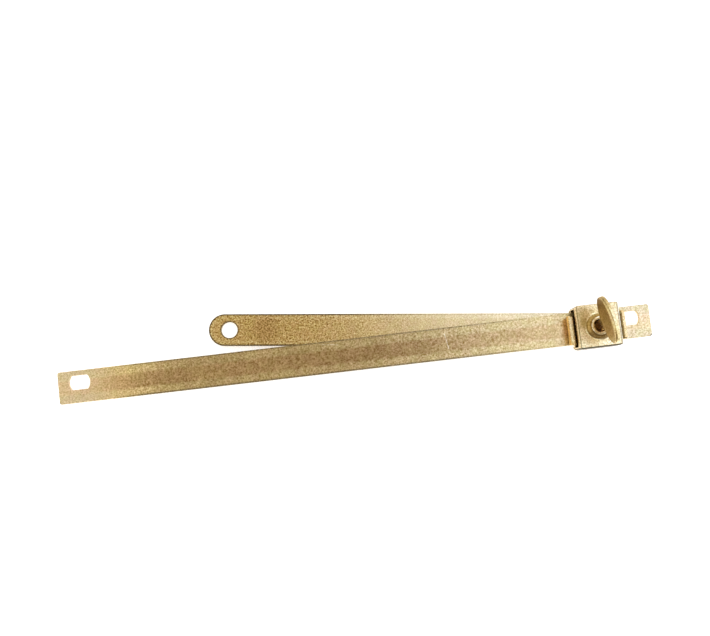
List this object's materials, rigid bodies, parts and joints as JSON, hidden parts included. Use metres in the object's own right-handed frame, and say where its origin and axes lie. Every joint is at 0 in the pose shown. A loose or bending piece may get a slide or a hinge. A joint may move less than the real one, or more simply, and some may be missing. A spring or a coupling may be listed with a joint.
{
  "type": "lid stay",
  "caption": "Sliding stay: a crowned guide bar, a boxed slider clamped by an oval thumb screw, and a flat arm that swings on a rivet under the slider.",
  "frame": {"origin": "midway between the centres of the bar's two fixing holes, in the plane of the bar's underside", "axes": "+X along the bar towards the end where the slider is parked, +Y to the side that the fixing holes are set towards, +Z the side that the thumb screw stands on"},
  "size_m": [0.2922, 0.0389, 0.028],
  "materials": {
    "bar_plating": "satin, tumbled, rubbed dull along the crown",
    "arm_plating": "satin, tumbled, with darker patches",
    "housing_plating": "satin, tumbled, bright rounded edges",
    "base_plating": "satin, dull",
    "rivet_plating": "satin, dull",
    "shoe_plating": "satin, with bright lip edges",
    "screw_plating": "satin, tumbled, bright rim"
  },
  "bodies": {
    "bar": {"guide_bar": "bar_plating"},
    "slider": {"slider_housing": "housing_plating", "slider_base": "base_plating", "pivot_rivet": "rivet_plating"},
    "arm": {"support_arm": "arm_plating"},
    "shoe": {"friction_shoe": "shoe_plating"},
    "thumb": {"thumb_screw": "screw_plating"}
  },
  "joints": [
    {"name": "slider_slide", "type": "slide", "parent": "bar", "child": "slider", "axis": [1, 0, 0], "range_m": [-0.2368, 0]},
    {"name": "arm_swing", "type": "hinge", "parent": "slider", "child": "arm", "pos_m": [0.1184, -0.00275, -0.0026], "axis": [0, 0, 1], "continuous": true},
    {"name": "shoe_lift", "type": "slide", "parent": "slider", "child": "shoe", "axis": [0, 0, 1], "range_m": [0, 0.00128]},
    {"name": "thumb_turn", "type": "hinge", "parent": "shoe", "child": "thumb", "pos_m": [0.1184, -0.00275, 0.0075], "axis": [0, 0, 1], "range_deg": [0, 360]}
  ],
  "couplings": [
    {"joint": "shoe_lift", "follows": "thumb_turn", "m_per_rad": 0.00020213}
  ]
}
